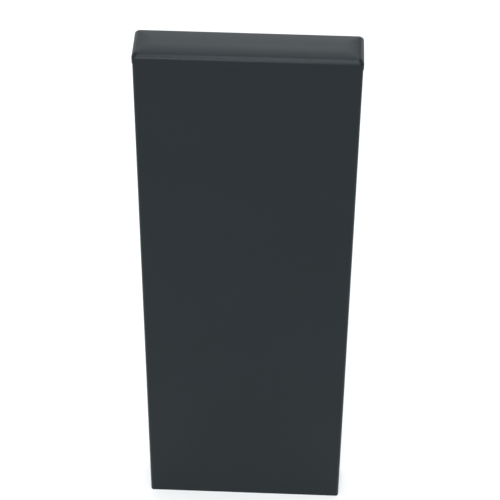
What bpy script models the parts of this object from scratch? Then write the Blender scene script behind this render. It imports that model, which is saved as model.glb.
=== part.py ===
"""Cap on the upper end of a flat hollow fence post.

The post is an aluminium extrusion with two chambers. The cap is a cast cover with a rounded edge and a
slightly crowned top, and a ribbed plastic plug for each chamber, held to the cover by two screws from
below. The whole cap pulls off the post upwards. Sizes are in metres, +Z is up, the width runs along X,
and the origin is at the middle of the post's lower cut end.
"""

import math

import bmesh
import bpy
from mathutils import Vector

# Post
POST_WIDTH = 0.100
POST_DEPTH = 0.020
POST_HEIGHT = 0.280
POST_WALL = 0.002
POST_WEB = 0.002
POST_CORNER = 0.0015
CHAMBER_CORNER = 0.0008

# Cover
COVER_OVERHANG = 0.00025
COVER_SIDE = 0.005
COVER_CROWN = 0.0006
COVER_EDGE_RADIUS = 0.0025
COVER_CORNER = 0.0018
COVER_RIM_CHAMFER = 0.0003
COVER_SKIN = 0.0012

# Plugs
PLUG_DEPTH = 0.024
PLUG_BASE = 0.003
PLUG_WALL = 0.0016
PLUG_RIB = 0.0016
PLUG_LEAD_IN = 0.0015
PLUG_CORNER = 0.0012
FIN_COUNT = 3
FIN_REACH = 0.0012
FIN_SLOPE = 0.0010
FIN_EDGE = 0.0005

# Screws
SCREW_SPACING = 0.026
THREAD_RADIUS = 0.00145
THREAD_DEPTH = 0.00035
THREAD_PITCH = 0.0011
SCREW_TIP = 0.0008
HEAD_RADIUS = 0.0026
HEAD_HEIGHT = 0.0018
HEAD_BEVEL = 0.0005
RECESS_SPAN = 0.0028
RECESS_SLOT = 0.0007
RECESS_DEPTH = 0.0010

# Clearances
SEAT_GAP = 0.0003
CHAMBER_CLEARANCE = 0.0003
SCREW_CLEARANCE = 0.0003
CUT_OVERRUN = 0.002

# Smoothness
CORNER_STEPS = 6
PLUG_CORNER_STEPS = 2
EDGE_STEPS = 6
CROWN_STEPS = 5
ROUND_SIDES = 16
SMOOTH_ANGLE = math.radians(35)

# Worked out from the sizes above
CHAMBER_WIDTH = (POST_WIDTH - 2 * POST_WALL - POST_WEB) / 2
CHAMBER_DEPTH = POST_DEPTH - 2 * POST_WALL
CHAMBER_OFFSET = (CHAMBER_WIDTH + POST_WEB) / 2
PLUG_WIDTH = CHAMBER_WIDTH - 2 * CHAMBER_CLEARANCE
PLUG_THICKNESS = CHAMBER_DEPTH - 2 * CHAMBER_CLEARANCE
PILOT_DEPTH = COVER_SIDE - COVER_SKIN


def clear_scene():
    """Removes what the scene holds."""
    for item in list(bpy.data.objects):
        bpy.data.objects.remove(item, do_unlink=True)


def finish(name, colour, roughness, metallic):
    """A Principled material in one colour."""
    material = bpy.data.materials.new(name)
    material.use_nodes = True
    shader = material.node_tree.nodes["Principled BSDF"]
    shader.inputs["Base Color"].default_value = (*colour, 1.0)
    shader.inputs["Roughness"].default_value = roughness
    shader.inputs["Metallic"].default_value = metallic
    return material


def rounded_ring(width, depth, corner, z, steps=CORNER_STEPS):
    """Points round a rectangle with rounded corners, anticlockwise seen from above."""
    points = []
    for quarter, (side_x, side_y) in enumerate(((1, 1), (-1, 1), (-1, -1), (1, -1))):
        centre_x = side_x * (width / 2 - corner)
        centre_y = side_y * (depth / 2 - corner)
        for step in range(steps + 1):
            angle = math.pi / 2 * (quarter + step / steps)
            points.append(
                Vector((centre_x + corner * math.cos(angle), centre_y + corner * math.sin(angle), z))
            )
    return points


def round_ring(radius, z):
    """Points round a circle, anticlockwise seen from above."""
    turns = [2 * math.pi * side / ROUND_SIDES for side in range(ROUND_SIDES)]
    return [Vector((radius * math.cos(turn), radius * math.sin(turn), z)) for turn in turns]


def cross_ring(span, slot, z):
    """Points round a cross with equal arms, anticlockwise seen from above."""
    long, short = span / 2, slot / 2
    arm = [(long, -short), (long, short), (short, short)]
    points = []
    for quarter in range(4):
        turn = math.pi / 2 * quarter
        for x, y in arm:
            points.append(
                Vector((x * math.cos(turn) - y * math.sin(turn), x * math.sin(turn) + y * math.cos(turn), z))
            )
    return points


def loft(name, rings, material=None):
    """A closed solid through rings of equal length, listed from the lowest to the highest."""
    shape = bmesh.new()
    rows = [[shape.verts.new(point) for point in ring] for ring in rings]
    shape.faces.new(reversed(rows[0]))
    shape.faces.new(rows[-1])
    for low, high in zip(rows, rows[1:]):
        for index in range(len(low)):
            after = (index + 1) % len(low)
            shape.faces.new((low[index], low[after], high[after], high[index]))
    mesh = bpy.data.meshes.new(name)
    shape.to_mesh(mesh)
    shape.free()
    mesh.shade_smooth()
    mesh.set_sharp_from_angle(angle=SMOOTH_ANGLE)
    if material:
        mesh.materials.append(material)
    solid = bpy.data.objects.new(name, mesh)
    bpy.context.scene.collection.objects.link(solid)
    return solid


def place(item, parent, position):
    """Hangs an object on its parent at a position in the parent's space."""
    item.parent = parent
    item.location = position
    return item


def cut(solid, rings, position):
    """Cuts a lofted shape, given in the solid's own space, out of the solid."""
    cutter = loft(f"cutter_{solid.name}_{len(solid.modifiers)}", rings)
    cutter.hide_render = True
    cutter.display_type = "WIRE"
    place(cutter, solid, position)
    boolean = solid.modifiers.new("cut", "BOOLEAN")
    boolean.operation = "DIFFERENCE"
    boolean.solver = "EXACT"
    boolean.object = cutter


def datum(name, position):
    """An empty that marks a reference point."""
    empty = bpy.data.objects.new(name, None)
    empty.location = position
    bpy.context.scene.collection.objects.link(empty)
    return empty


def make_post(parent, material):
    """Extruded flat tube with a web in the middle, open at both cut ends."""
    section = (POST_WIDTH, POST_DEPTH, POST_CORNER)
    post = loft("post_profile", [rounded_ring(*section, 0), rounded_ring(*section, POST_HEIGHT)], material)
    chamber = (CHAMBER_WIDTH, CHAMBER_DEPTH, CHAMBER_CORNER)
    for side in (-1, 1):
        rings = [rounded_ring(*chamber, -CUT_OVERRUN), rounded_ring(*chamber, POST_HEIGHT + CUT_OVERRUN)]
        cut(post, rings, (side * CHAMBER_OFFSET, 0, 0))
    place(post, parent, (0, 0, 0))


def cover_rings():
    """The cover's outline from its rim to its crown, as rings about the seat plane's centre."""
    width = POST_WIDTH + 2 * COVER_OVERHANG
    depth = POST_DEPTH + 2 * COVER_OVERHANG
    innermost = depth / 2 - COVER_CORNER
    crown_slope = math.atan(2 * COVER_CROWN / (innermost - COVER_EDGE_RADIUS))
    levels = [(COVER_RIM_CHAMFER, 0), (0, COVER_RIM_CHAMFER)]
    arc_foot = COVER_SIDE - COVER_EDGE_RADIUS
    for step in range(EDGE_STEPS + 1):
        angle = (math.pi / 2 - crown_slope) * step / EDGE_STEPS
        inset = COVER_EDGE_RADIUS * (1 - math.cos(angle))
        levels.append((inset, arc_foot + COVER_EDGE_RADIUS * math.sin(angle)))
    arc_inset, arc_top = levels[-1]
    for step in range(1, CROWN_STEPS + 1):
        share = step / CROWN_STEPS
        inset = arc_inset + (innermost - arc_inset) * share
        levels.append((inset, arc_top + COVER_CROWN * (1 - (1 - share) ** 2)))
    rings = []
    for inset, height in levels:
        corner = max(COVER_CORNER - inset, COVER_CORNER / 2)
        rings.append(rounded_ring(width - 2 * inset, depth - 2 * inset, corner, height))
    return rings


def screw_places():
    """Where the screws stand across the cap, as (plug side, name, X from the plug's centre)."""
    return [
        (side, f"{side_name}_{end_name}", end * SCREW_SPACING / 2)
        for side, side_name in ((-1, "left"), (1, "right"))
        for end, end_name in ((-1, "outer" if side < 0 else "inner"), (1, "inner" if side < 0 else "outer"))
    ]


def make_cover(parent, material):
    """Cast cover with a flat underside and a blind pilot hole for each screw."""
    cover = loft("cap_cover", cover_rings(), material)
    pilot = THREAD_RADIUS + SCREW_CLEARANCE
    for side, _, along in screw_places():
        rings = [round_ring(pilot, -CUT_OVERRUN), round_ring(pilot, PILOT_DEPTH)]
        cut(cover, rings, (side * CHAMBER_OFFSET + along, 0, 0))
    place(cover, parent, (0, 0, SEAT_GAP))


def plug_rings():
    """One plug's outline from its lead-in to its base, as rings below its flat top.

    Each fin slopes outwards from below, so that it slips into the chamber, and is flat on top, so that
    it holds.
    """
    levels = [
        (FIN_REACH + PLUG_LEAD_IN / 2, -PLUG_DEPTH),
        (FIN_REACH, PLUG_LEAD_IN - PLUG_DEPTH),
    ]
    pitch = (PLUG_DEPTH - PLUG_LEAD_IN - PLUG_BASE) / FIN_COUNT
    for fin in range(FIN_COUNT):
        edge = PLUG_LEAD_IN - PLUG_DEPTH + pitch * (fin + 0.5)
        levels.append((FIN_REACH, edge - FIN_SLOPE))
        levels.append((0, edge))
        levels.append((0, edge + FIN_EDGE))
        levels.append((FIN_REACH, edge + FIN_EDGE))
    levels.append((FIN_REACH, -PLUG_BASE))
    levels.append((0, -PLUG_BASE))
    levels.append((0, 0))
    rings = []
    for inset, height in levels:
        outline = (PLUG_WIDTH - 2 * inset, PLUG_THICKNESS - 2 * inset)
        corner = max(PLUG_CORNER - inset, PLUG_CORNER / 2)
        rings.append(rounded_ring(*outline, corner, height, PLUG_CORNER_STEPS))
    return rings


def make_plug(side, name, parent, material):
    """Ribbed plug for one chamber: a base over two pockets open below, with a screw hole in each."""
    plug = loft(name, plug_rings(), material)
    wall = FIN_REACH + PLUG_WALL
    pocket_width = (PLUG_WIDTH - 2 * wall - PLUG_RIB) / 2
    pocket = (pocket_width, PLUG_THICKNESS - 2 * wall, PLUG_CORNER / 2)
    hole = THREAD_RADIUS + SCREW_CLEARANCE
    for end in (-1, 1):
        rings = [
            rounded_ring(*pocket, height, PLUG_CORNER_STEPS)
            for height in (-PLUG_DEPTH - CUT_OVERRUN, -PLUG_BASE)
        ]
        cut(plug, rings, (end * (pocket_width + PLUG_RIB) / 2, 0, 0))
        rings = [round_ring(hole, -PLUG_BASE - CUT_OVERRUN), round_ring(hole, CUT_OVERRUN)]
        cut(plug, rings, (end * SCREW_SPACING / 2, 0, 0))
    place(plug, parent, (side * CHAMBER_OFFSET, 0, 0))


def screw_rings():
    """A pan-head screw standing point upwards, as rings about the middle of its bearing face."""
    length = PLUG_BASE + SEAT_GAP + PILOT_DEPTH - SCREW_CLEARANCE
    root = THREAD_RADIUS - THREAD_DEPTH
    rings = [
        round_ring(HEAD_RADIUS - HEAD_BEVEL, -HEAD_HEIGHT),
        round_ring(HEAD_RADIUS, HEAD_BEVEL - HEAD_HEIGHT),
        round_ring(HEAD_RADIUS, 0),
        round_ring(root, 0),
    ]
    turns = int((length - SCREW_TIP) / THREAD_PITCH)
    for turn in range(turns):
        foot = THREAD_PITCH * turn
        rings.append(round_ring(THREAD_RADIUS, foot + THREAD_PITCH / 2))
        rings.append(round_ring(root, foot + THREAD_PITCH))
    rings.append(round_ring(root / 3, length))
    return rings


def make_screw(name, parent, position, material):
    """Pan-head tapping screw with a cross recess in its head."""
    screw = loft(name, screw_rings(), material)
    recess = (RECESS_SPAN, RECESS_SLOT)
    rings = [
        cross_ring(*recess, -HEAD_HEIGHT - CUT_OVERRUN),
        cross_ring(*recess, RECESS_DEPTH - HEAD_HEIGHT),
    ]
    cut(screw, rings, (0, 0, 0))
    place(screw, parent, position)


def main():
    clear_scene()
    coat = finish("anthracite_coat", (0.036, 0.043, 0.048), 0.42, 0.0)
    cover_coat = finish("anthracite_cover_coat", (0.036, 0.043, 0.048), 0.38, 0.0)
    plastic = finish("black_plastic", (0.020, 0.021, 0.022), 0.55, 0.0)
    steel = finish("plated_steel", (0.56, 0.57, 0.58), 0.35, 1.0)
    post_foot = datum("post_foot", (0, 0, 0))
    cap_seat = datum("cap_seat", (0, 0, POST_HEIGHT))
    make_post(post_foot, coat)
    make_cover(cap_seat, cover_coat)
    for side, name in ((-1, "plug_left"), (1, "plug_right")):
        make_plug(side, name, cap_seat, plastic)
    bearing = -PLUG_BASE - SCREW_CLEARANCE
    for side, name, along in screw_places():
        position = (side * CHAMBER_OFFSET + along, 0, bearing)
        make_screw(f"screw_{name}", cap_seat, position, steel)


main()
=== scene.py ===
"""Looks of a fence post cap on the upper end of its flat post, laid out as a Blender add-on.

Run as a script, it loads the fixed frame, models each piece around it, gives every surface its finish
and sets the stage. Sizes are in metres, +Z is up.
"""

import math

import bmesh
import bpy
from bpy.props import FloatProperty, FloatVectorProperty, IntProperty, PointerProperty
from mathutils import Matrix, Vector


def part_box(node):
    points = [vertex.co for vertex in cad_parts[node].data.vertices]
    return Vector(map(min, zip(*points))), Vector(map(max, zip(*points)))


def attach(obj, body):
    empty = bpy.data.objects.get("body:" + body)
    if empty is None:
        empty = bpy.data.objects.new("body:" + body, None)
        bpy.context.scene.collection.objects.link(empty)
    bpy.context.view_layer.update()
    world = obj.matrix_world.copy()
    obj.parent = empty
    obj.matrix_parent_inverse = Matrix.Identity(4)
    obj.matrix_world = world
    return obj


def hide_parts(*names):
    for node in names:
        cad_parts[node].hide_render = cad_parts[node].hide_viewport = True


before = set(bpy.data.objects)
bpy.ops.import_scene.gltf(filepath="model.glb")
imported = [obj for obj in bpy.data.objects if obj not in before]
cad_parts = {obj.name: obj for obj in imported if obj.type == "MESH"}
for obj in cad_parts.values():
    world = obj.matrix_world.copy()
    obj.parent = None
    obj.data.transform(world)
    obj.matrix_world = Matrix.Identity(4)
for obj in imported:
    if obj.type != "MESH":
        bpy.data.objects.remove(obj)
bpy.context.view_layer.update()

bl_info = {
    "name": "Fence Post Cap",
    "version": (1, 0, 0),
    "blender": (4, 5, 0),
    "location": "3D View > Sidebar > Fence Cap",
    "description": "Models a capped flat fence post, its finishes and its stage",
    "category": "Add Mesh",
}

POST_LOW, POST_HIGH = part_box("post_profile")
COVER_LOW, COVER_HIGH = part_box("cap_cover")
SCREW_NODES = ("screw_left_outer", "screw_left_inner", "screw_right_inner", "screw_right_outer")
MILLIMETRE = 0.001
SMOOTH_ANGLE = math.radians(30)
HOLE_SIDES = 32

# How close two lengths have to be to count as the same.
SAME = 0.02 * MILLIMETRE

# From which share of its direction along Z an edge stands upright or a face lies level, and up to which
# share a face is a wall.
UPRIGHT = 0.999
LEVEL = 0.9
WALL = 0.1

COAT_SPECULAR = 0.19
FLOOR_GAP = 0.2 * MILLIMETRE
PANEL_TINT = (0.95, 1.0, 1.03)

# Each soft panel: its setting, how far it stands to the right in metres, its height as an angle in degrees
# from the horizon behind the post over the top to the front, its roll in degrees, its width and its height.
PANELS = (
    ("front_panel", -0.3, 171, 0, 0.8, 0.65),
    ("overhead_panel", 0.0, 120, 0, 0.4, 2.4),
    ("back_panel", 0.0, 50, 20, 1.2, 1.75),
    ("back_lamp", 0.0, 40, 0, 0.4, 0.35),
    ("low_back_panel", 0.0, 10, 0, 3.2, 0.7),
    ("end_panels", -1.2, 25, 0, 0.9, 0.9),
    ("end_panels", 1.2, 25, 0, 0.9, 0.9),
    ("side_panels", -2.4, 100, 0, 2.4, 2.4),
    ("side_panels", 2.4, 100, 0, 2.4, 2.4),
)


def length(name, description, default):
    """A length property whose value is given in millimetres."""
    return FloatProperty(
        name=name,
        description=description,
        default=default * MILLIMETRE,
        min=0.0,
        precision=5,
        unit="LENGTH",
    )


def angle(name, description, default):
    """An angle property whose value is given in degrees."""
    return FloatProperty(name=name, description=description, default=math.radians(default), subtype="ANGLE")


def brightness(name, description, default):
    """How bright a light looks, on the scale on which plain white is 1."""
    return FloatProperty(name=name, description=description, default=default, min=0.0)


def colour(name, description, default):
    """A colour property."""
    return FloatVectorProperty(
        name=name, description=description, default=default, min=0.0, max=1.0, size=3, subtype="COLOR"
    )


class PostSizes(bpy.types.PropertyGroup):
    """Sizes of the extruded post"""

    wall: length("Wall", "Thickness of the outer wall", 2.0)
    web: length("Web", "Thickness of the web between the chambers", 2.0)
    corner: length("Corner", "Outer radius of the long corners", 1.5)
    chamber_corner: length("Chamber corner", "Inner radius of the chambers' corners", 0.8)
    cut_edge: length("Cut edge", "Softening of the edges round the cut ends", 0.12)


class CoverSizes(bpy.types.PropertyGroup):
    """Sizes of the cast cover"""

    corner: length("Corner", "Radius of the corners seen from above", 1.8)
    edge_radius: length("Edge radius", "Radius of the rounded upper edge", 2.5)
    side: length("Side", "Height from the rim to where the crown begins", 5.0)
    rim: length("Rim", "Softening of the lower edge", 0.15)
    seat_drop: length("Seat drop", "How far the rim comes down to the post", 0.25)
    pilot_radius: length("Pilot radius", "Radius of the blind screw holes", 1.75)
    pilot_depth: length("Pilot depth", "Depth of the blind screw holes", 3.8)


class PlugSizes(bpy.types.PropertyGroup):
    """Sizes of the moulded plugs"""

    base: length("Base", "Thickness of the base under the cover", 3.0)
    wall: length("Wall", "Thickness of the skirt", 1.6)
    lead_in: length("Lead-in", "Height of the taper at the lower end", 1.5)
    fin_reach: length("Fin reach", "How far the fins stand out from the skirt", 1.2)
    fin_slope: length("Fin slope", "Height of the sloped lower side of a fin", 1.0)
    fin_edge: length("Fin edge", "Thickness of a fin at its edge", 0.5)
    fin_count: IntProperty(name="Fins", description="Rows of fins on each plug", default=3, min=1)
    corner: length("Corner", "Radius of the upright corners", 1.2)
    pocket_corner: length("Pocket corner", "Radius of the pockets' corners beside the rib", 0.6)
    hole_radius: length("Hole radius", "Radius of the screw holes", 1.75)


class ScrewSizes(bpy.types.PropertyGroup):
    """Sizes of the pan-head screws"""

    head_radius: length("Head radius", "Radius of the head", 2.6)
    head_height: length("Head height", "Height of the head", 1.8)
    thread_radius: length("Thread radius", "Outer radius of the thread", 1.45)
    thread_depth: length("Thread depth", "How deep the thread is cut", 0.35)
    pitch: length("Pitch", "Distance from one thread to the next", 1.1)
    tip: length("Tip", "Height of the pointed tip", 0.8)
    recess_span: length("Recess span", "Width across the cross recess", 2.8)
    recess_slot: length("Recess slot", "Width of one slot of the recess", 0.7)
    recess_depth: length("Recess depth", "Depth of the cross recess", 1.0)


class Finishes(bpy.types.PropertyGroup):
    """Colours of the finishes"""

    coat: colour("Powder coat", "Anthracite coat of the post and the cover", (0.0048, 0.0086, 0.0110))
    metal: colour("Bare aluminium", "Cut ends and chambers of the post", (0.62, 0.63, 0.64))
    plastic: colour("Plug plastic", "Moulded plugs", (0.018, 0.019, 0.020))
    steel: colour("Plated steel", "Screws", (0.58, 0.59, 0.60))
    floor: colour("Floor", "Pale floor of the stage", (0.5, 0.5, 0.5))


class StageSizes(bpy.types.PropertyGroup):
    """Camera, room and lights"""

    lens: FloatProperty(name="Lens", description="Focal length in millimetres", default=130.61, min=1.0)
    aside: length("Camera aside", "Camera's place along the width, from the middle", 24.43)
    back: length("Camera back", "Camera's distance in front of the post", 643.0)
    rise: length("Camera rise", "Camera's height above the cover's side", 459.78)
    turn: angle("Turn", "Camera's turn to the left", 2.047)
    pitch: angle("Pitch", "Camera's tilt downwards", 42.012)
    roll: angle("Roll", "Camera's roll", 0.505)
    floor_side: length("Floor side", "Half width of the floor", 6000.0)
    room: brightness("Room", "Even light from all round", 0.4)
    front_panel: brightness("Front panel", "Low soft panel in front, to the left", 6.8)
    overhead_panel: brightness("Overhead panel", "Narrow panel from over the post to the front", 6.9)
    back_panel: brightness("Back panel", "Wide soft panel behind the post, high up", 1.76)
    back_lamp: brightness("Back lamp", "Small panel in the middle of the wide one", 1.5)
    low_back_panel: brightness("Low back panel", "Long low panel behind the post", 0.8)
    end_panels: brightness("End panels", "Soft panels behind the post, to the left and the right", 1.2)
    side_panels: brightness("Side panels", "Large soft panels to the left and the right", 1.8)
    floor_glow: brightness("Floor glow", "Light from below the floor, as on a light table", 0.39)
    reach: length("Panel reach", "Distance of the panels from the cap", 1600.0)


# Modelling helpers


def deselect_all():
    """Leaves nothing selected and nothing active."""
    if bpy.context.object and bpy.context.object.mode != "OBJECT":
        bpy.ops.object.mode_set(mode="OBJECT")
    bpy.ops.object.select_all(action="DESELECT")
    bpy.context.view_layer.objects.active = None


def take(piece):
    """Makes one object the only selected and the active one."""
    deselect_all()
    piece.select_set(True)
    bpy.context.view_layer.objects.active = piece


def named_active(name):
    """Names the object that was just added, and its mesh."""
    piece = bpy.context.object
    piece.name = name
    piece.data.name = name
    return piece


def settle(piece):
    """Puts an object's place, turn and scale into its mesh."""
    take(piece)
    bpy.ops.object.transform_apply(location=True, rotation=True, scale=True)


def edit(piece):
    """Opens one object for editing with nothing in it selected."""
    take(piece)
    bpy.ops.object.mode_set(mode="EDIT")
    bpy.ops.mesh.select_all(action="DESELECT")


def close_edit():
    """Goes back from editing to the whole object."""
    bpy.ops.object.mode_set(mode="OBJECT")


def pick(piece, kind, test):
    """Selects the faces, edges or vertices of the open object for which the test holds."""
    bpy.ops.mesh.select_all(action="DESELECT")
    bpy.ops.mesh.select_mode(type={"faces": "FACE", "edges": "EDGE", "verts": "VERT"}[kind])
    shape = bmesh.from_edit_mesh(piece.data)
    found = [part for part in getattr(shape, kind) if test(part)]
    for part in found:
        part.select_set(True)
    shape.select_flush_mode()
    bmesh.update_edit_mesh(piece.data)
    if not found:
        raise RuntimeError(f"nothing to pick on {piece.name}")


def along_z(edge):
    """Whether an edge stands upright."""
    direction = (edge.verts[1].co - edge.verts[0].co).normalized()
    return abs(direction.z) > UPRIGHT


def is_level(face):
    """Whether a face lies level, whichever way it faces."""
    return abs(face.normal.z) > LEVEL


def is_wall(face):
    """Whether a face stands upright."""
    return abs(face.normal.z) < WALL


def near(value, target):
    """Whether two lengths are the same, but for rounding."""
    return abs(value - target) < SAME


def finish_piece(piece, body, node):
    """Smooths a finished piece, ties it to its body and hides the CAD part of its node."""
    take(piece)
    bpy.ops.object.shade_smooth_by_angle(angle=SMOOTH_ANGLE)
    weighted = piece.modifiers.new("flat faces stay flat", "WEIGHTED_NORMAL")
    weighted.keep_sharp = True
    bpy.ops.object.modifier_apply(modifier=weighted.name)
    settle(piece)
    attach(piece, body)
    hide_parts(node)


def rise_through(piece, levels, centre, start):
    """Extrudes the selected face through levels of (height, width, depth), from the start's sizes."""
    height, width, depth = start
    for next_height, next_width, next_depth in levels:
        move = (0, 0, next_height - height)
        bpy.ops.mesh.extrude_region_move(TRANSFORM_OT_translate={"value": move})
        scale = (next_width / width, next_depth / depth, 1)
        bpy.ops.transform.resize(value=scale, center_override=(*centre, next_height))
        height, width, depth = next_height, next_width, next_depth


def rounded_plate(name, centre, height, width, depth, corner, segments):
    """A flat face with rounded corners, open for editing and selected."""
    deselect_all()
    bpy.ops.mesh.primitive_plane_add(size=1, location=(*centre, height))
    plate = named_active(name)
    plate.scale = (width, depth, 1)
    settle(plate)
    edit(plate)
    bpy.ops.mesh.select_all(action="SELECT")
    bpy.ops.mesh.bevel(offset=corner, segments=segments, affect="VERTICES")
    bpy.ops.mesh.select_all(action="SELECT")
    return plate


def drill(piece, radius, low, high, places):
    """Cuts round upright holes between two heights at the given places."""
    for x, y in places:
        deselect_all()
        bpy.ops.mesh.primitive_cylinder_add(
            vertices=HOLE_SIDES, radius=radius, depth=high - low, location=(x, y, (low + high) / 2)
        )
        carve(piece, bpy.context.object)


def carve(piece, cutter):
    """Takes a closed cutter out of a piece and removes it."""
    take(piece)
    boolean = piece.modifiers.new("carve", "BOOLEAN")
    boolean.operation = "DIFFERENCE"
    boolean.solver = "EXACT"
    boolean.object = cutter
    bpy.ops.object.modifier_apply(modifier=boolean.name)
    bpy.data.objects.remove(cutter, do_unlink=True)


# Shader helpers


class Wire:
    """A number on a socket, on which arithmetic adds Math nodes."""

    def __init__(self, graph, socket):
        self.graph = graph
        self.socket = socket

    def math(self, operation, *values):
        """Adds a Math node over these values."""
        node = self.graph.add("ShaderNodeMath", {"operation": operation}, values)
        return Wire(self.graph, node.outputs[0])

    def __add__(self, other):
        return self.math("ADD", self, other)

    def __radd__(self, other):
        return self.math("ADD", other, self)

    def __mul__(self, other):
        return self.math("MULTIPLY", self, other)


class Graph:
    """A new material's node tree."""

    def __init__(self, name):
        self.material = bpy.data.materials.new(name)
        self.material.use_nodes = True
        self.tree = self.material.node_tree
        self.shader = self.tree.nodes["Principled BSDF"]
        self.place = self.add("ShaderNodeTexCoord").outputs["Object"]

    def add(self, kind, settings=None, values=()):
        """Adds a node. Settings are set first, then the values or links of its sockets."""
        node = self.tree.nodes.new(kind)
        for key, setting in (settings or {}).items():
            setattr(node, key, setting)
        pairs = values.items() if isinstance(values, dict) else enumerate(values)
        for key, value in pairs:
            self.feed(node.inputs[key], value)
        return node

    def feed(self, socket, value):
        """Links a wire or a socket, or sets a plain value."""
        if isinstance(value, Wire):
            value = value.socket
        if isinstance(value, bpy.types.NodeSocket):
            self.tree.links.new(value, socket)
        else:
            socket.default_value = value

    def noise(self, scale, detail=2.0, roughness=0.5, stretch=(1, 1, 1)):
        """Noise over the object's own space, with cells of about one over scale metres."""
        mapping = self.add("ShaderNodeMapping", values={"Vector": self.place, "Scale": stretch})
        values = {"Vector": mapping.outputs[0], "Scale": scale, "Detail": detail, "Roughness": roughness}
        node = self.add("ShaderNodeTexNoise", {"noise_dimensions": "3D"}, values)
        return Wire(self, node.outputs[0])

    def spread(self, value, low, high):
        """Stretches the part of a value between low and high over 0 to 1."""
        values = {"Value": value, "From Min": low, "From Max": high}
        node = self.add("ShaderNodeMapRange", {"clamp": True, "interpolation_type": "SMOOTHSTEP"}, values)
        return Wire(self, node.outputs[0])

    def blend(self, share, first, second):
        """Mixes two colours."""
        node = self.add("ShaderNodeMix", {"data_type": "RGBA"}, {"Factor": share})
        self.feed(node.inputs[6], first)
        self.feed(node.inputs[7], second)
        return node.outputs[2]

    def relief(self, height, distance, strength):
        """Feeds a height, with its distance in metres, to the shader's normal."""
        values = {"Height": height, "Distance": distance, "Strength": strength}
        bump = self.add("ShaderNodeBump", values=values)
        self.feed(self.shader.inputs["Normal"], bump.outputs[0])

    def set(self, **values):
        """Sets or feeds the shader's sockets, named with underscores."""
        for key, value in values.items():
            self.feed(self.shader.inputs[key.replace("_", " ")], value)


def shade(tint, factor):
    """A colour made lighter or darker, with its alpha."""
    return (*(min(1.0, channel * factor) for channel in tint), 1.0)


def powder_coat(name, tint):
    """Satin powder coat: faint clouds, a fine orange peel and a dry grain."""
    graph = Graph(name)
    clouds = graph.noise(24, 3)
    peel = graph.noise(1500, 2, 0.4)
    grain = graph.noise(6500, 2, 0.6)
    share = graph.spread(clouds * 0.7 + peel * 0.3, 0.3, 0.7)
    graph.set(
        Base_Color=graph.blend(share, shade(tint, 0.96), shade(tint, 1.04)),
        Roughness=0.27 + clouds * 0.04 + grain * 0.04,
    )
    graph.shader.inputs["Specular IOR Level"].default_value = COAT_SPECULAR
    graph.relief(peel * 0.8 + grain * 0.2, 0.00002, 0.5)
    return graph.material


def bare_aluminium(name, tint):
    """Mill-finish aluminium with draw lines along the post and short saw marks."""
    graph = Graph(name)
    lines = graph.noise(300, 3, 0.6, (12, 12, 0.3))
    saw = graph.noise(700, 2, 0.5, (0.4, 6, 6))
    share = graph.spread(lines * 0.5 + saw * 0.5, 0.3, 0.7)
    graph.set(
        Base_Color=graph.blend(share, shade(tint, 0.8), shade(tint, 1.1)),
        Metallic=1.0,
        Roughness=0.30 + lines * 0.16,
    )
    graph.relief(lines * 0.5 + saw * 0.5, 0.00003, 0.6)
    return graph.material


def moulded_plastic(name, tint):
    """Matt moulded plastic with a spark-eroded grain."""
    graph = Graph(name)
    grain = graph.noise(2600, 3, 0.6)
    clouds = graph.noise(90, 2)
    share = graph.spread(clouds, 0.3, 0.7)
    graph.set(
        Base_Color=graph.blend(share, shade(tint, 0.85), shade(tint, 1.2)),
        Roughness=0.5 + grain * 0.16,
    )
    graph.relief(grain, 0.00003, 0.6)
    return graph.material


def plated_steel(name, tint):
    """Bright plated steel with a faint yellow cast in places and fine scratches."""
    graph = Graph(name)
    clouds = graph.noise(400, 3)
    scratches = graph.noise(2500, 2, 0.6, (1, 1, 6))
    share = graph.spread(clouds, 0.35, 0.65)
    warm = (tint[0], tint[1] * 0.97, tint[2] * 0.88)
    graph.set(
        Base_Color=graph.blend(share, shade(tint, 1.0), shade(warm, 0.94)),
        Metallic=1.0,
        Roughness=0.22 + scratches * 0.16,
    )
    graph.relief(scratches, 0.00001, 0.5)
    return graph.material


# Operators


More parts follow.
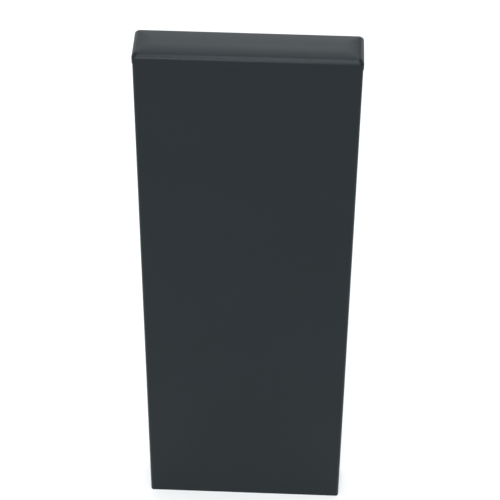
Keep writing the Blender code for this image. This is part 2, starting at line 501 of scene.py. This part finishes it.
class FENCECAP_OT_post(bpy.types.Operator):
    """Flat hollow post, coated outside, with bare aluminium on its cut ends and in its chambers"""

    bl_idname = "fence_cap.post"
    bl_label = "Post"

    def execute(self, context):
        sizes = context.scene.fence_cap_post
        finishes = context.scene.fence_cap_finishes
        deselect_all()
        bpy.ops.mesh.primitive_cube_add(size=1, location=(POST_LOW + POST_HIGH) / 2)
        post = named_active("post_tube")
        post.scale = POST_HIGH - POST_LOW
        settle(post)
        post.data.materials.append(powder_coat("post_powder_coat", finishes.coat))
        post.data.materials.append(bare_aluminium("bare_aluminium", finishes.metal))
        edit(post)
        self.open_chambers(post, sizes)
        self.round_corners(post, sizes)
        self.paint_bare_faces(post, sizes)
        close_edit()
        finish_piece(post, "post", "post_profile")
        return {"FINISHED"}

    def open_chambers(self, post, sizes):
        """Opens the two chambers from end to end, leaving the walls and the web."""
        bpy.ops.mesh.select_all(action="SELECT")
        bpy.ops.mesh.bisect(plane_co=(0, 0, 0), plane_no=(1, 0, 0))
        pick(post, "faces", is_level)
        bpy.ops.mesh.inset(thickness=sizes.wall, use_individual=True)
        shift = sizes.wall - sizes.web / 2
        for side in (-1, 1):
            pick(post, "verts", lambda vert: near(vert.co.x, side * sizes.wall))
            bpy.ops.transform.translate(value=(-side * shift, 0, 0))
        outer = POST_HIGH.x - sizes.wall
        for side in (-1, 1):
            pick(
                post,
                "faces",
                lambda face: is_level(face)
                and all(sizes.web / 4 < side * vert.co.x < outer + sizes.wall / 4 for vert in face.verts)
                and all(abs(vert.co.y) < POST_HIGH.y - sizes.wall / 2 for vert in face.verts),
            )
            bpy.ops.mesh.bridge_edge_loops()

    def round_corners(self, post, sizes):
        """Rounds the long corners outside and inside, and softens the edges of the cut ends."""
        pick(
            post,
            "edges",
            lambda edge: along_z(edge)
            and near(abs(edge.verts[0].co.x), POST_HIGH.x)
            and near(abs(edge.verts[0].co.y), POST_HIGH.y),
        )
        bpy.ops.mesh.bevel(offset=sizes.corner, segments=8, affect="EDGES")
        inner = POST_HIGH.y - sizes.wall
        pick(post, "edges", lambda edge: along_z(edge) and near(abs(edge.verts[0].co.y), inner))
        bpy.ops.mesh.bevel(offset=sizes.chamber_corner, segments=5, affect="EDGES")
        pick(
            post,
            "edges",
            lambda edge: not along_z(edge)
            and any(is_wall(face) for face in edge.link_faces)
            and any(is_level(face) for face in edge.link_faces),
        )
        bpy.ops.mesh.bevel(offset=sizes.cut_edge, segments=2, affect="EDGES")

    def paint_bare_faces(self, post, sizes):
        """Gives the cut ends and the chambers' walls the bare metal."""
        reach_x = POST_HIGH.x - sizes.wall / 2
        reach_y = POST_HIGH.y - sizes.wall / 2

        def bare(face):
            middle = face.calc_center_median()
            inside = abs(middle.x) < reach_x and abs(middle.y) < reach_y
            return is_level(face) or inside

        pick(post, "faces", bare)
        bpy.context.object.active_material_index = 1
        bpy.ops.object.material_slot_assign()


class FENCECAP_OT_cover(bpy.types.Operator):
    """Cast cover with a rounded edge, a slightly crowned top and blind screw holes"""

    bl_idname = "fence_cap.cover"
    bl_label = "Cover"
    corner_steps = 12
    edge_steps = 12
    crown_steps = 14
    rim_bulge = 0.3

    def execute(self, context):
        sizes = context.scene.fence_cap_cover
        finishes = context.scene.fence_cap_finishes
        centre = ((COVER_LOW.x + COVER_HIGH.x) / 2, (COVER_LOW.y + COVER_HIGH.y) / 2)
        levels = self.levels(sizes)
        start = levels[0]
        cover = rounded_plate("cover", centre, *start, sizes.corner - sizes.rim, self.corner_steps)
        rise_through(cover, levels[1:], centre, start)
        bpy.ops.mesh.select_all(action="SELECT")
        bpy.ops.mesh.normals_make_consistent(inside=False)
        close_edit()
        places = [node_middle(node) for node in SCREW_NODES]
        drill(cover, sizes.pilot_radius, COVER_LOW.z - MILLIMETRE, COVER_LOW.z + sizes.pilot_depth, places)
        cover.data.materials.append(powder_coat("cover_powder_coat", finishes.coat))
        finish_piece(cover, "cap", "cap_cover")
        return {"FINISHED"}

    def levels(self, sizes):
        """The cover's outline from its rim to its crown, as (height, width, depth)."""
        width = COVER_HIGH.x - COVER_LOW.x
        depth = COVER_HIGH.y - COVER_LOW.y
        drop = -sizes.seat_drop
        innermost = depth / 2 - sizes.corner
        crown = COVER_HIGH.z - COVER_LOW.z - sizes.side
        slope = math.atan(2 * crown / (innermost - sizes.edge_radius))
        bulge = self.rim_bulge * sizes.rim
        outline = [(sizes.rim, drop), (bulge, drop + bulge), (0, drop + sizes.rim)]
        foot = sizes.side - sizes.edge_radius
        for step in range(self.edge_steps + 1):
            sweep = (math.pi / 2 - slope) * step / self.edge_steps
            inset = sizes.edge_radius * (1 - math.cos(sweep))
            outline.append((inset, foot + sizes.edge_radius * math.sin(sweep)))
        inset_end, height_end = outline[-1]
        left = COVER_HIGH.z - COVER_LOW.z - height_end
        for step in range(1, self.crown_steps + 1):
            share = step / self.crown_steps
            inset = inset_end + (innermost - inset_end) * share
            outline.append((inset, height_end + left * (1 - (1 - share) ** 2)))
        return [(COVER_LOW.z + rise, width - 2 * inset, depth - 2 * inset) for inset, rise in outline]


def node_middle(node):
    """Where a CAD node's middle is, seen from above."""
    low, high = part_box(node)
    return (low.x + high.x) / 2, (low.y + high.y) / 2


class FENCECAP_OT_plugs(bpy.types.Operator):
    """Ribbed moulded plugs, one for each chamber"""

    bl_idname = "fence_cap.plugs"
    bl_label = "Plugs"
    corner_steps = 4

    def execute(self, context):
        sizes = context.scene.fence_cap_plugs
        plastic = moulded_plastic("plug_plastic", context.scene.fence_cap_finishes.plastic)
        left = self.model(sizes, "plug_left")
        left.data.materials.append(plastic)
        left_x, _ = node_middle("plug_left")
        right_x, _ = node_middle("plug_right")
        take(left)
        bpy.ops.object.duplicate(linked=False)
        right = named_active("plug_right_moulding")
        bpy.ops.transform.translate(value=(right_x - left_x, 0, 0))
        finish_piece(left, "cap", "plug_left")
        finish_piece(right, "cap", "plug_right")
        return {"FINISHED"}

    def model(self, sizes, node):
        """One plug: its finned outside, then its two pockets and its screw holes."""
        low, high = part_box(node)
        centre = node_middle(node)
        width, depth = high.x - low.x, high.y - low.y
        levels = [(high.z, width, depth)]
        skirt = (width - 2 * sizes.fin_reach, depth - 2 * sizes.fin_reach)
        levels.append((high.z - sizes.base, width, depth))
        levels.append((high.z - sizes.base, *skirt))
        bottom = low.z + sizes.lead_in
        pitch = (high.z - sizes.base - bottom) / sizes.fin_count
        for fin in reversed(range(sizes.fin_count)):
            edge = bottom + pitch * (fin + 0.5)
            levels.append((edge + sizes.fin_edge, *skirt))
            levels.append((edge + sizes.fin_edge, width, depth))
            levels.append((edge, width, depth))
            levels.append((edge - sizes.fin_slope, *skirt))
        levels.append((bottom, *skirt))
        levels.append((low.z, skirt[0] - sizes.lead_in, skirt[1] - sizes.lead_in))
        plug = rounded_plate("plug_left_moulding", centre, *levels[0], sizes.corner, self.corner_steps)
        rise_through(plug, levels[1:], centre, levels[0])
        bpy.ops.mesh.select_all(action="SELECT")
        bpy.ops.mesh.normals_make_consistent(inside=False)
        bpy.ops.mesh.bisect(plane_co=(centre[0], 0, 0), plane_no=(1, 0, 0))
        pick(plug, "faces", lambda face: all(near(vert.co.z, low.z) for vert in face.verts))
        bpy.ops.mesh.inset(thickness=sizes.wall - sizes.lead_in / 2, use_individual=True)
        pocket = high.z - low.z - sizes.base
        bpy.ops.mesh.extrude_region_move(TRANSFORM_OT_translate={"value": (0, 0, pocket)})
        self.round_rib(plug, sizes, centre, pocket)
        close_edit()
        places = [node_middle(name) for name in SCREW_NODES[:2]]
        drill(plug, sizes.hole_radius, high.z - sizes.base - MILLIMETRE, high.z + MILLIMETRE, places)
        return plug

    def round_rib(self, plug, sizes, centre, pocket):
        """Rounds the pockets' corners beside the rib between them."""
        pick(
            plug,
            "edges",
            lambda edge: along_z(edge)
            and near(edge.calc_length(), pocket)
            and abs(edge.verts[0].co.x - centre[0]) < sizes.wall,
        )
        bpy.ops.mesh.bevel(offset=sizes.pocket_corner, segments=self.corner_steps, affect="EDGES")


class FENCECAP_OT_screws(bpy.types.Operator):
    """Pan-head screws that hold the plugs to the cover from below"""

    bl_idname = "fence_cap.screws"
    bl_label = "Screws"
    sides = 40
    head_steps = 5
    pan_height = 0.7
    pan_flat = 0.72
    wedge_end = (0.55, 0.8, 1)
    thread_valley = (0.40, 0.66)
    thread_crest = (0.48, 0.54)

    def execute(self, context):
        sizes = context.scene.fence_cap_screws
        steel = plated_steel("plated_steel", context.scene.fence_cap_finishes.steel)
        first = self.model(sizes, SCREW_NODES[0])
        first.data.materials.append(steel)
        first_x, first_y = node_middle(SCREW_NODES[0])
        screws = [first]
        for node in SCREW_NODES[1:]:
            take(first)
            bpy.ops.object.duplicate(linked=False)
            x, y = node_middle(node)
            bpy.ops.transform.translate(value=(x - first_x, y - first_y, 0))
            screws.append(named_active(f"{node}_turned"))
        for screw, node in zip(screws, SCREW_NODES):
            finish_piece(screw, "cap", node)
        return {"FINISHED"}

    def model(self, sizes, node):
        """One screw, head down."""
        low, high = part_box(node)
        centre = node_middle(node)
        bearing = low.z + sizes.head_height
        root = sizes.thread_radius - sizes.thread_depth
        radii = []
        for step in range(self.head_steps + 1):
            sweep = math.pi / 2 * step / self.head_steps
            rise = self.pan_height * sizes.head_height * (1 - math.cos(sweep))
            share = self.pan_flat + (1 - self.pan_flat) * math.sin(sweep)
            radii.append((low.z + rise, sizes.head_radius * share))
        radii.append((bearing, sizes.head_radius))
        radii.append((bearing, root))
        turns = int((high.z - bearing - sizes.tip) / sizes.pitch)
        valley_below, valley_above = self.thread_valley
        crest_below, crest_above = self.thread_crest
        for turn in range(turns):
            foot = bearing + sizes.pitch * turn
            radii.append((foot + valley_below * sizes.pitch, root))
            radii.append((foot + crest_below * sizes.pitch, sizes.thread_radius))
            radii.append((foot + crest_above * sizes.pitch, sizes.thread_radius))
            radii.append((foot + valley_above * sizes.pitch, root))
        radii.append((high.z - sizes.tip, root))
        radii.append((high.z, root / 3))
        deselect_all()
        start_height, start_radius = radii[0]
        bpy.ops.mesh.primitive_circle_add(
            vertices=self.sides, radius=start_radius, fill_type="NGON", location=(*centre, start_height)
        )
        screw = named_active(f"{node}_turned")
        settle(screw)
        edit(screw)
        bpy.ops.mesh.select_all(action="SELECT")
        levels = [(height, 2 * radius, 2 * radius) for height, radius in radii]
        rise_through(screw, levels[1:], centre, levels[0])
        bpy.ops.mesh.select_all(action="SELECT")
        bpy.ops.mesh.normals_make_consistent(inside=False)
        close_edit()
        self.cut_recess(screw, sizes, centre, low.z)
        return screw

    def cut_recess(self, screw, sizes, centre, low):
        """Cuts the cross recess with two crossing wedges."""
        for turn in (0, math.pi / 2):
            deselect_all()
            bpy.ops.mesh.primitive_cube_add(size=1, location=(*centre, low))
            cutter = bpy.context.object
            cutter.scale = (sizes.recess_span, sizes.recess_slot, 2 * sizes.recess_depth)
            settle(cutter)
            edit(cutter)
            pick(cutter, "faces", lambda face: face.normal.z > LEVEL)
            bpy.ops.transform.resize(value=self.wedge_end, center_override=(*centre, low))
            bpy.ops.mesh.select_all(action="SELECT")
            bpy.ops.transform.rotate(value=turn, orient_axis="Z", center_override=(*centre, low))
            close_edit()
            carve(screw, cutter)


class FENCECAP_OT_stage(bpy.types.Operator):
    """Pale floor, soft studio lights, a bright room and the camera"""

    bl_idname = "fence_cap.stage"
    bl_label = "Stage"

    def execute(self, context):
        sizes = context.scene.fence_cap_stage
        self.floor(context.scene.fence_cap_finishes.floor, sizes)
        self.room(context.scene, sizes)
        self.lights(sizes)
        self.camera(context.scene, sizes)
        return {"FINISHED"}

    def floor(self, tint, sizes):
        """A wide pale floor just under the post, which glows a little."""
        deselect_all()
        bpy.ops.mesh.primitive_plane_add(size=2 * sizes.floor_side, location=(0, 0, POST_LOW.z - FLOOR_GAP))
        floor = named_active("floor")
        settle(floor)
        graph = Graph("pale_floor")
        clouds = graph.noise(3, 2)
        graph.set(Base_Color=graph.blend(clouds, shade(tint, 0.99), shade(tint, 1.0)), Roughness=0.8)
        graph.shader.inputs["Specular IOR Level"].default_value = 0.0
        graph.shader.inputs["Emission Color"].default_value = (1, 1, 1, 1)
        graph.shader.inputs["Emission Strength"].default_value = sizes.floor_glow
        floor.data.materials.append(graph.material)

    def room(self, scene, sizes):
        """An even white room."""
        world = bpy.data.worlds.new("white_room")
        world.use_nodes = True
        background = world.node_tree.nodes["Background"]
        background.inputs["Color"].default_value = (1, 1, 1, 1)
        background.inputs["Strength"].default_value = sizes.room
        scene.world = world
        scene.view_settings.view_transform = "Standard"
        scene.view_settings.look = "None"

    def lights(self, sizes):
        """Soft panels, each turned to the cap."""
        aim = Vector((0, 0, COVER_HIGH.z))
        for name, aside, height_angle, roll, width, height in PANELS:
            light = bpy.data.lights.new(name, "AREA")
            light.shape = "RECTANGLE"
            light.size = width
            light.size_y = height
            light.energy = getattr(sizes, name) * math.pi * width * height
            light.color = PANEL_TINT
            panel = bpy.data.objects.new(light.name, light)
            bpy.context.scene.collection.objects.link(panel)
            away = Matrix.Rotation(math.radians(height_angle), 3, "X") @ Vector((0, sizes.reach, 0))
            away.x = aside
            panel.location = aim + away
            facing = (-away).to_track_quat("-Z", "Y").to_matrix()
            panel.rotation_euler = (facing @ Matrix.Rotation(math.radians(roll), 3, "Z")).to_euler()
            panel.visible_camera = False

    def camera(self, scene, sizes):
        """The camera in front of the post, looking down at it."""
        data = bpy.data.cameras.new("camera")
        data.lens = sizes.lens
        data.sensor_width = 36.0
        data.clip_start = 0.01
        data.clip_end = 100.0
        camera = bpy.data.objects.new("camera", data)
        scene.collection.objects.link(camera)
        crest = COVER_LOW.z + scene.fence_cap_cover.side
        camera.location = (sizes.aside, -sizes.back, crest + sizes.rise)
        turn = Matrix.Rotation(sizes.turn, 3, "Z")
        tilt = Matrix.Rotation(math.pi / 2 - sizes.pitch, 3, "X")
        roll = Matrix.Rotation(sizes.roll, 3, "Z")
        camera.rotation_euler = (turn @ tilt @ roll).to_euler()
        scene.camera = camera


class FENCECAP_PT_panel(bpy.types.Panel):
    """Lists the pieces and their sizes"""

    bl_idname = "FENCECAP_PT_panel"
    bl_label = "Fence Cap"
    bl_space_type = "VIEW_3D"
    bl_region_type = "UI"
    bl_category = "Fence Cap"

    def draw(self, context):
        """Draws a box for each operator with its settings."""
        scene = context.scene
        for operator, settings in OPERATORS:
            box = self.layout.box()
            box.operator(operator.bl_idname)
            group = getattr(scene, settings)
            for name in group.bl_rna.properties.keys():
                if name not in {"rna_type", "name"}:
                    box.prop(group, name)


GROUPS = {
    "fence_cap_post": PostSizes,
    "fence_cap_cover": CoverSizes,
    "fence_cap_plugs": PlugSizes,
    "fence_cap_screws": ScrewSizes,
    "fence_cap_finishes": Finishes,
    "fence_cap_stage": StageSizes,
}
OPERATORS = (
    (FENCECAP_OT_post, "fence_cap_post"),
    (FENCECAP_OT_cover, "fence_cap_cover"),
    (FENCECAP_OT_plugs, "fence_cap_plugs"),
    (FENCECAP_OT_screws, "fence_cap_screws"),
    (FENCECAP_OT_stage, "fence_cap_stage"),
)
CLASSES = (*GROUPS.values(), *(operator for operator, _ in OPERATORS), FENCECAP_PT_panel)


def register():
    """Adds the classes, and the settings to the scene."""
    for item in CLASSES:
        bpy.utils.register_class(item)
    for name, group in GROUPS.items():
        setattr(bpy.types.Scene, name, PointerProperty(type=group))


def unregister():
    """Takes the settings and the classes away again."""
    for name in GROUPS:
        delattr(bpy.types.Scene, name)
    for item in reversed(CLASSES):
        bpy.utils.unregister_class(item)


def main():
    """Models every piece and the stage."""
    register()
    for operator, _ in OPERATORS:
        getattr(bpy.ops.fence_cap, operator.bl_idname.split(".")[1])()
    deselect_all()


if __name__ == "__main__":
    main()
